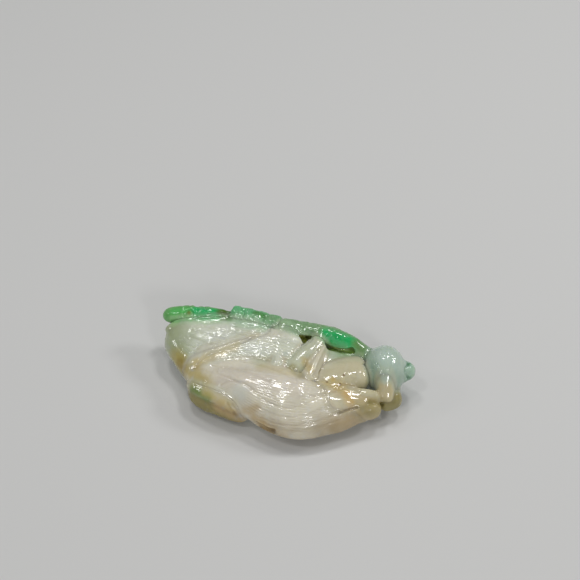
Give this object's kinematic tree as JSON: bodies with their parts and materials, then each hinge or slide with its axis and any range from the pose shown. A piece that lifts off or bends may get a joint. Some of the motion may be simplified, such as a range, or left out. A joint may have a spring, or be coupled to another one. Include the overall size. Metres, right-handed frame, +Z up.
{
  "type": "jade pendant",
  "caption": "Openwork carved jade pendant: a winged cricket with bent legs rests on a curled leaf whose green rolled rim arches free; the underside is ground flat.",
  "frame": {"origin": "middle of the footprint, on the surface the flat underside rests on", "axes": "+X along the leaf towards the cricket's head, +Y towards the leaf's rolled rim, +Z up out of the carved face"},
  "size_m": [0.0548, 0.027, 0.0116],
  "materials": {
    "pale_jade": "polished",
    "icy_jade": "polished",
    "green_jade": "polished",
    "honey_jade": "polished"
  },
  "bodies": {
    "root": {"eye_bead": "icy_jade", "far_wing": "pale_jade", "far_wing_edge": "honey_jade", "forefoot": "honey_jade", "foreleg": "honey_jade", "head": "icy_jade", "hind_shin": "pale_jade", "hind_thigh": "pale_jade", "leaf_back_wall": "pale_jade", "leaf_blade": "pale_jade", "leaf_front_fold": "honey_jade", "leaf_rim_arch": "green_jade", "leaf_rim_roll": "green_jade", "leaf_rim_scroll": "green_jade", "lower_arm": "honey_jade", "middle_leg": "pale_jade", "near_wing": "pale_jade", "pronotum_shield": "honey_jade", "thorax": "pale_jade", "upper_arm": "honey_jade"}
  },
  "joints": []
}
